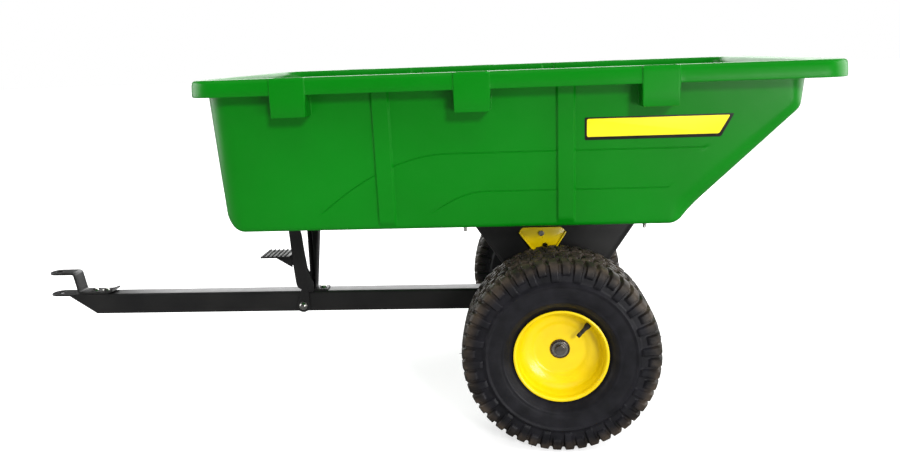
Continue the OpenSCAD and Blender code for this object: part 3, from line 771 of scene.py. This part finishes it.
def tyre(side):
    """A section carried round the axle, its points sunk along their normals wherever the tread
    pattern has a groove. The pattern is staggered rows of slanting blocks on the crown, and long
    shoulder lugs that run out down the sidewall, every other one shorter."""
    wall = [(58, 93.5), (59.5, 98.6), (65, 103.8), (73.8, 112), (78.8, 124), (80.4, 138), (80.9, 152),
            (80.9, 166), (80.5, 182), (78.6, 195), (73.6, 202.4), (64, 204.8), (48, 205.6), (22, 205.9)]
    corners = np.array(wall + [(0, 206)] + [(-s, r) for s, r in wall[::-1]])
    smooth = soften(corners, 6.0, closed=False, steps=5)
    length = np.concatenate([[0], np.cumsum(np.linalg.norm(np.diff(smooth, axis=0), axis=1))])
    middle = length[-1] / 2
    spread = np.concatenate([np.linspace(0, 34, 12)[:-1], np.linspace(34, 66, 17)[:-1],
                             np.linspace(66, middle, 46)[:-1]])
    along = np.concatenate([spread, [middle], length[-1] - spread[::-1]])
    s, r = (np.interp(along, length, smooth[:, i]) for i in (0, 1))
    ds, dr = np.gradient(s), np.gradient(r)
    out_s, out_r = -dr / np.hypot(ds, dr), ds / np.hypot(ds, dr)
    out_s, out_r = (np.where(out_r[len(s) // 2] < 0, -1, 1) * v for v in (out_s, out_r))
    turn = np.linspace(0, 2 * pi, TYRE_LUGS * LUG_STEPS, endpoint=False)[None, :]
    lug = turn * TYRE_LUGS / (2 * pi)
    wide = np.abs(s[:, None])
    rows = np.select([wide < 10.5, wide < 31, wide < 52], [0, 1, 2], 3)
    edges = (pulse(wide, [0], 8.6, 1.2) + pulse(wide, [21, 42], 8.4, 1.2) + ease((wide - 53.5) / 2.4))
    slant = np.where(rows == 3, 0.006, 0.012) * wide * np.where(rows % 2, 1, -1)
    phase = lug + 0.5 * rows + slant + 0.25 * (s[:, None] < 0)
    share = np.select([rows == 3, rows == 0], [0.35, 0.34], 0.33)
    block = ease((share + 0.05 - np.abs(phase % 1 - 0.5)) / 0.1)
    long_lug = np.floor(phase) % 2 == 0
    height = r[:, None]
    foot = 160 + 14 * (1 - long_lug)
    gap = np.where(rows == 3, 1 - block * ease((height - foot) / 5), 1 - block * np.clip(edges, 0, 1))
    depth = (TREAD_DEPTH - 2.4 * ease((SHOULDER - height) / 28)) * ease((height - 156) / 7)
    ribs = 1.4 * pulse(height, [154.0], 1.9, 1.2) + 1.1 * pulse(height, [119.0], 2.2, 1.4)
    sink = depth * gap - ribs
    s2, r2 = s[:, None] - sink * out_s[:, None], height - sink * out_r[:, None]
    skin = np.stack([r2 * np.cos(turn), -(WHEEL_Y + s2), AXLE_Z + r2 * np.sin(turn)], -1)
    hidden = np.array([(-56, 95.5), (-50, 150), (0, 188), (50, 150), (56, 95.5)])
    inside = np.stack([hidden[:, 1, None] * np.cos(turn), -WHEEL_Y - hidden[:, 0, None] + 0 * turn,
                       AXLE_Z + hidden[:, 1, None] * np.sin(turn)], -1)
    body = loft(np.vstack([skin, inside]), wrap_rows=True)
    hairs = []
    for angle in (0.20, 2.2, 3.1, 4.4):
        base = np.array([201 * cos(angle), -WHEEL_Y - 63, AXLE_Z + 201 * sin(angle)])
        aim = np.array([cos(angle), -0.25, sin(angle)]) * 9
        hairs.append(rod_along(base + np.linspace(0, 1, 4)[:, None] * aim, [0.7, 0.55, 0.45, 0.3], 6))
    return mirrored(joined(body, *hairs), side)


for side in SIDES:
    add_piece("tyre_" + side, tyre(side), "tyre_rubber", "wheel_" + side, ["tyre_" + side], sharp=42)


# ---- Rims, hubs and valves ----

def wheel_turned(profile, side, steps=128):
    """A closed section of (radius, distance outwards) turned about the axle at a wheel's centre."""
    return mirrored(turned(profile, (0, -WHEEL_Y, AXLE_Z), (0, -1, 0), steps, closed=True), side)


def rim_disc(side):
    """The outer half of the rim: a flat centre, a step, a deep bowl and a rolled edge."""
    path = [(19.5, 17), (54, 17.6), (61.5, 22.2), (75, 27), (84.5, 36), (87.5, 46), (91.4, 54),
            (91.8, 62.6), (94.6, 66.6), (97.4, 65.2)]
    middle = soften(path, [1, 5, 5, 9, 8, 5, 4, 3.4, 2.2, 1], closed=False, steps=7)
    return wheel_turned(strip(middle, 2.8), side)


def rim_back(side):
    """The inner half of the rim: a barrel that widens to its own rolled edge."""
    path = [(79, 19), (80, 12), (84, -20), (88, -46), (91.4, -54), (91.8, -62.6), (94.6, -66.6),
            (97.4, -65.2)]
    middle = soften(path, [1, 5, 8, 6, 4, 3.4, 2.2, 1], closed=False, steps=7)
    return wheel_turned(strip(middle, 2.8), side)


def hub(side):
    """A tube with rounded ends that holds a bearing in each of them."""
    section = soften([(17.6, 21), (21, 21), (21, 14), (20, 8), (20, -55), (17.6, -55), (17.6, -41.5),
                      (14, -41), (14, 7), (17.6, 7.5)], 0.9, steps=4)
    return wheel_turned(section, side, 96)


def valve(side, part):
    """The stem comes out of the bowl's wall towards the hub, with its cap at the inner end."""
    turn = radians(45)
    out = np.array([cos(turn), 0, sin(turn)])
    tip = radians(12)
    aim = -out * cos(tip) + np.array([0, -sin(tip), 0])
    start = out * 85 + (0, -WHEEL_Y - 38, AXLE_Z)
    stem = [(6, -5), (6, 4.4), (6.8, 4.9), (6.9, 6.8), (6.2, 7.5), (5.9, 10), (4.5, 13.6), (4.2, 16),
            (4.2, 24.6), (3.6, 25.8), (2.4, 26), (2.4, 34)]
    cap = [(2.6, 26.2), (4.0, 26.2), (4.3, 26.9), (4.3, 33.8), (4.0, 35.6), (3.0, 36.3), (1, 36.4)]
    surface = turned({"stem": stem, "cap": cap}[part], start, aim, 40)
    if part == "cap":
        points, faces = surface
        ridge = np.arange(len(points)) % 2
        spread = points - start
        flat = spread - np.outer(spread @ aim, aim)
        points = points - flat * 0.06 * ridge[:, None]
        surface = points, faces
    return mirrored(surface, side)


for side in SIDES:
    body = "wheel_" + side
    add_piece("rim_disc_" + side, rim_disc(side), "yellow_paint", body, ["rim_outer_" + side])
    add_piece("rim_back_" + side, rim_back(side), "yellow_paint", body, ["rim_inner_" + side])
    add_piece("hub_tube_" + side, hub(side), "hub_steel", body, ["hub_" + side])
    add_piece("valve_stem_rubber_" + side, valve(side, "stem"), "valve_rubber", body, ["valve_stem_" + side])
    add_piece("valve_cap_ridged_" + side, valve(side, "cap"), "cap_plastic", body, ["valve_cap_" + side])
    refinish("bearings_" + side, "bearing_steel")
    refinish("inner_spacer_" + side, "bare_steel")
    refinish("outer_spacer_" + side, "bare_steel")
refinish("axle", "bare_steel")
refinish("axle_washers", "zinc")
refinish("retaining_rings", "bare_steel")


# ---- Drawbar and hitch ----

PIN_X, PIN_HOLE = -1277, 8.25
DRAWBAR_BOLTS = ((-1187, 249), (-1158, 249), (-580, 248))
LEVER_PIVOT = (-628, 208)


def stadium(x, y):
    """Reach of a round-nosed plate from its hole: a half circle ahead, a straight end behind."""
    def distance(turn):
        c, s = np.cos(turn), np.sin(turn)
        behind = np.minimum(x / np.clip(c, 1e-6, None), y / np.clip(np.abs(s), 1e-6, None))
        return np.where(c > 0, behind, y)
    return distance


def drawbar():
    """A channel open downwards with bent corners, cut back at the front, and its top web run on
    as a tang with the pin hole."""
    path = soften([(-23, 193), (-23, 242), (23, 242), (23, 193)], 5.5, closed=False, steps=7)
    points, faces = slab(strip(path, 4), 0, 1, "X", edge=0.001)
    share = points[:, 0]
    front = -1250 + (244 - points[:, 2]) / 51 * 75
    points[:, 0] = front + share * (34 - front)
    tang = pierced_plate((PIN_X, 0), PIN_HOLE, stadium(48, 24.9), 240.1, 243.9)
    return joined((points, faces), tang)


def hitch_plate():
    """A bent strip bolted on the drawbar whose round nose repeats the pin hole above the gap."""
    path = soften([(-1262, 298), (-1229, 298), (-1219, 246.5), (-1146, 246.5), (-1130, 252.5)],
                  [1, 6, 6, 8, 1], closed=False, steps=8)
    bent = slab(strip(path, 5), -23, 23, edge=0.9)
    nose = pierced_plate((PIN_X, 0), PIN_HOLE, stadium(28, 22.9), 295.6, 300.4, edge=0.9)
    return joined(bent, nose)


def carriage_bolt(x, y, z, shank):
    """A domed head on a shank that ends in a chamfer."""
    profile = [(3.2, -shank), (4, -shank + 0.9), (4, -0.2), (9, 0), (9.2, 0.6), (8.5, 2.1), (6.7, 3.5),
               (4.2, 4.5), (1.2, 4.95)]
    return turned(profile, (x, y, z), steps=40)


def nut(x, y, z, axis=(0, 0, 1), radius=7.5, tall=6.5):
    """A hexagon nut with its corners eased at both faces."""
    return hexagon(radius, [(radius * 0.93, 0), (radius, 0.7), (radius, tall - 0.7), (radius * 0.93, tall),
                            (radius * 0.6, tall + 0.01)], (x, y, z), axis)


add_piece("drawbar_channel", drawbar(), "black_coat", "drawbar", ["drawbar"])
add_piece("hitch_bracket", hitch_plate(), "black_coat", "drawbar", ["hitch_plate"])
add_piece("drawbar_bolts_domed",
          joined(*(carriage_bolt(x, 0, z, 22) for x, z in DRAWBAR_BOLTS)), "zinc", "drawbar",
          ["drawbar_bolts"])
add_piece("drawbar_nuts_hex", joined(*(nut(x, 0, 233.4) for x, _ in DRAWBAR_BOLTS)), "zinc", "drawbar",
          ["drawbar_nuts"])
refinish("pivot_sleeve", "black_coat")
refinish("lever_bushing", "bare_steel")


# ---- Latch stand and foot lever ----

def latch_stand():
    """A tapered channel open to the left, between a foot and a head plate."""
    def section(front, back):
        return strip(soften([(front, -20), (front, 8), (back, 8), (back, -20)], 6, closed=False), 4)
    post = slab(section(-606, -596), 247, 455, "Z", far=section(-606, -576))
    foot = slab(soften([(-612, -20), (-566, -20), (-566, 20), (-612, 20)], 4), 244, 248, "Z")
    head = slab(soften([(-608, -20), (-564, -20), (-564, 20), (-608, 20)], 4), 453.7, 457.7, "Z")
    return joined(post, foot, head)


def foot_lever():
    """A near plate with a hooked top and a narrower far one, both with round lower ends, joined by
    a web along the front."""
    boss = arc(LEVER_PIVOT, 17, 190, 350, 17)
    upper = soften([(-599, 240), (-597, 267), (-608, 288), (-616.5, 353), (-620, 397), (-629.2, 420),
                    (-631.2, 438), (-623.2, 441), (-623.2, 447), (-650, 452), (-655, 446), (-649, 350),
                    (-646, 302), (-641.5, 255)],
                   [14, 8, 12, 20, 12, 5, 1.5, 1.5, 1.5, 3, 3, 30, 25, 12])
    narrow = soften([(-611.5, 238), (-612, 264), (-632, 302), (-637, 350), (-642, 448), (-650, 452),
                     (-655, 446), (-649, 350), (-646, 302), (-641.5, 255)],
                    [8, 14, 12, 20, 3, 2, 3, 30, 25, 12])
    near = slab(np.vstack([boss, upper]), -31.5, -27.5, edge=0.8)
    far = slab(np.vstack([boss, narrow]), 27.5, 31.5, edge=0.8)
    web = soften([(-638.7, 262), (-642.5, 302), (-645.5, 350), (-651.3, 444)], [1, 12, 12, 1], closed=False)
    return joined(near, far, slab(strip(web, 4), -29, 29))


def foot_pedal():
    """A tread plate with a turned-down back, two gussets and a row of saw-toothed grip bars."""
    top = 337
    tread = slab(strip([(-727, top), (-700, top), (-668, top), (-653, top)], 4), -39, 39, edge=0.8)
    back = slab(strip(soften([(-664, top), (-652, top), (-651, 312)], [1, 6, 1], closed=False), 3.6), -22, 22)
    gusset = slab(soften([(-700, 336), (-653, 336), (-651.5, 306)], [2, 1, 2]), -22, -18)
    y = np.linspace(-35, 35, 57)
    tooth = np.where(np.arange(57) % 4 < 2, 3.3, 1.8)
    comb = np.vstack([np.stack([y, top + 1 + tooth], 1), [[35, top + 0.5], [-35, top + 0.5]]])
    bars = [slab(comb, -722 + 11 * i, -718 + 11 * i, "X", edge=0.25) for i in range(6)]
    dome = [(3, 0), (5.2, 0.1), (4.8, 1.6), (3, 2.6), (0.8, 2.9)]
    rivets = [turned(dome, (-652.6, y, 322), (-1, 0, 0.04), 28) for y in (-12, 12)]
    return joined(tread, back, both(gusset), *bars, *rivets)


def lever_spring():
    """A close helix whose straight ends run through the lever's web and the post's flange and
    turn up behind them."""
    turn = np.linspace(0, 2 * pi * 8, 257)
    coil = np.stack([-632 + 16 * turn / turn[-1], 4.5 * np.cos(turn), 270 + 4.5 * np.sin(turn)], 1)
    bent = [soften([(far, 276.3), (far, 270), (near, 270), (near, 274.3)], 1.2, closed=False, steps=5)
            for far, near in ((-643.4, -632), (-602.8, -616))]
    ends = [np.stack([p[:, 0], 0 * p[:, 0], p[:, 1]], 1) for p in bent]
    return joined(*(rod_along(p, 0.68, 8) for p in (coil, *ends)))


def pivot_bolt():
    """A round-headed bolt right through the lever and the drawbar."""
    profile = [(4.4, -77.8), (5, -76.8), (5, -0.2), (9.2, 0), (9.5, 0.8), (8.9, 3), (7.2, 5),
               (4.6, 6.4), (1.4, 7)]
    return turned(profile, (LEVER_PIVOT[0], -33.4, LEVER_PIVOT[1]), (0, -1, 0), 56)


add_piece("latch_post", latch_stand(), "black_coat", "drawbar", ["latch_stand"])
refinish("stand_pad", "pad_rubber")
add_piece("pivot_bolt", pivot_bolt(), "zinc", "drawbar", ["lever_pivot_bolt"])
add_piece("pivot_nut", nut(LEVER_PIVOT[0], 33.4, LEVER_PIVOT[1], (0, 1, 0), 9.2, 8), "zinc",
          "drawbar", ["lever_pivot_nut"])
refinish("lever_pivot_washers", "zinc")
add_piece("latch_lever", foot_lever(), "black_coat", "foot_lever", ["foot_lever"])
add_piece("pedal", foot_pedal(), "black_coat", "foot_lever", ["foot_pedal"])
spring = add_piece("return_spring", lever_spring(), "zinc", None, ["lever_spring"], sharp=80)
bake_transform(spring)


# ---- Axle supports, struts and striker ----

STRUT_BOLTS = ((-30, 425), (-22, 398))
TUB_BOLTS = [(x, y) for x in (-200, 200) for y in (-188, 188)] + [(-617, -56), (-617, 56)]
STRIKER = (-617, 432)


def dished(outline, face, depth, bend, thick=4.0, steps=6):
    """A pressed pan: a flat face whose edge rolls back through a quarter circle into a flange."""
    turn = np.radians(np.linspace(0, 90, steps))
    outer = [(bend * (1 - sin(a)), bend * (1 - cos(a))) for a in turn] + [(0, depth)]
    small = bend - thick
    inner = [(thick, depth)] + [(bend - small * sin(a), bend - small * cos(a)) for a in turn[::-1]]
    loops = [stand_up(shrunk(outline, inset), face + back, "Y") for inset, back in outer + inner]
    return loft(np.stack(loops))


def axle_support():
    """A pressed bracket that narrows from the tub's floor to the axle, with a bolting flange."""
    boss = arc((0, AXLE_Z), 32, 205, 335, 15)
    sides = soften([(49, 238), (107, 335), (194, 464), (-194, 464), (-107, 335), (-49, 238)],
                   [18, 20, 22, 22, 20, 18], steps=7)
    pan = dished(np.vstack([boss, sides]), -210, 20, 15)
    flange = slab(soften([(-212, -200), (212, -200), (212, -172), (-212, -172)], 5), 460, 463.9, "Z")
    return joined(pan, flange)


def side_strut():
    """A flat strut with a round foot, and a lip folded outwards along each slanting side."""
    foot = arc((0, AXLE_Z), 30, 200, 340, 17)
    sides = soften([(18, 240), (-3, 386), (24, 428), (14, 438), (-72, 438), (-79, 428), (-47, 386),
                    (-18, 240)], [14, 12, 4, 4, 4, 4, 12, 14])
    plate = slab(np.vstack([foot, sides]), -213, -210, edge=0.6)
    lips = []
    for path in ([(-79, 428), (-47, 386), (-18, 222)], [(24, 428), (-3, 386), (18, 222)]):
        line = soften(path, [1, 12, 1], closed=False, steps=9)
        lips.append(slab(strip(line, 3), -219, -210.5, edge=0.8))
    return joined(plate, *lips)


def strut_bolts():
    """Hexagon heads with a slight chamfer, each on a plain shank."""
    heads = []
    for x, z in STRUT_BOLTS:
        heads.append(hexagon(6.5, [(6.5, 0), (6.5, 3.6), (5.9, 4.4), (3.5, 4.45)], (x, -213, z), (0, -1, 0)))
        heads.append(turned([(3.4, -18), (4, -17.2), (4, 0.2)], (x, -213, z), (0, -1, 0), 28))
    return both(joined(*heads))


def latch_striker():
    """Two ears under the tub's floor that carry the round bar the lever hooks over."""
    boss = arc(STRIKER, 12, 180, 360, 17)
    ear = slab(np.vstack([boss, [(-605, 440), (-599, 452), (-599, 462), (-629, 462)]]), -40, -36, edge=0.6)
    foot = slab(soften([(-629, -70), (-599, -70), (-599, -37), (-629, -37)], 3), 460, 463.9, "Z")
    bar = turned([(4, -42.5), (5, -41.8), (5, 41.8), (4, 42.5)], (STRIKER[0], 0, STRIKER[1]), (0, 1, 0), 40)
    return joined(both(joined(ear, foot)), bar)


for side in SIDES:
    add_piece("support_" + side, mirrored(axle_support(), side), "black_coat", "tub",
              ["axle_support_" + side])
    add_piece("strut_" + side, mirrored(side_strut(), side), "yellow_paint", "tub",
              ["side_strut_" + side])
add_piece("strut_bolt_heads", strut_bolts(), "zinc", "tub", ["strut_bolts"])
add_piece("strut_nuts_hex", both(joined(*(nut(x, -206, z, (0, 1, 0)) for x, z in STRUT_BOLTS))),
          "zinc", "tub", ["strut_nuts"])
add_piece("tub_bolts_domed", joined(*(carriage_bolt(x, y, 469.3, 42) for x, y in TUB_BOLTS)),
          "zinc", "tub", ["tub_bolts"])
add_piece("tub_nuts_hex", joined(*(nut(x, y, 453.4) for x, y in TUB_BOLTS)), "zinc", "tub",
          ["tub_nuts"])
add_piece("striker", latch_striker(), "black_coat", "tub", ["latch_striker"])


# ---- Floor and close ----

def add_floor():
    """A pale floor far larger than the cart, faintly mottled."""
    mesh = bpy.data.meshes.new("studio_floor")
    far = 30.0
    mesh.from_pydata([(-far, -far, 0), (far, -far, 0), (far, far, 0), (-far, far, 0)], [], [(0, 1, 2, 3)])
    floor = bpy.data.objects.new("studio_floor", mesh)
    f = Finish("studio_floor", 0.9, specular=0.0)
    path = f.node("ShaderNodeLightPath")
    mottled = f.ramp(f.noise(3), 0.3, 0.7, (0.54, 0.54, 0.54), (0.56, 0.56, 0.56))
    f.color(f.mix(path.outputs["Is Glossy Ray"], mottled, (0.10, 0.10, 0.10)))
    f.set("Emission Color", (1, 1, 1, 1))
    seen = f.node("ShaderNodeMapRange")
    seen.inputs["To Max"].default_value = 0.62
    f.link(path.outputs["Is Camera Ray"], seen.inputs["Value"])
    f.link(seen.outputs[0], f.shader.inputs["Emission Strength"])
    mesh.materials.append(f.material)
    bpy.context.scene.collection.objects.link(floor)


light_the_studio()
add_floor()
add_camera()
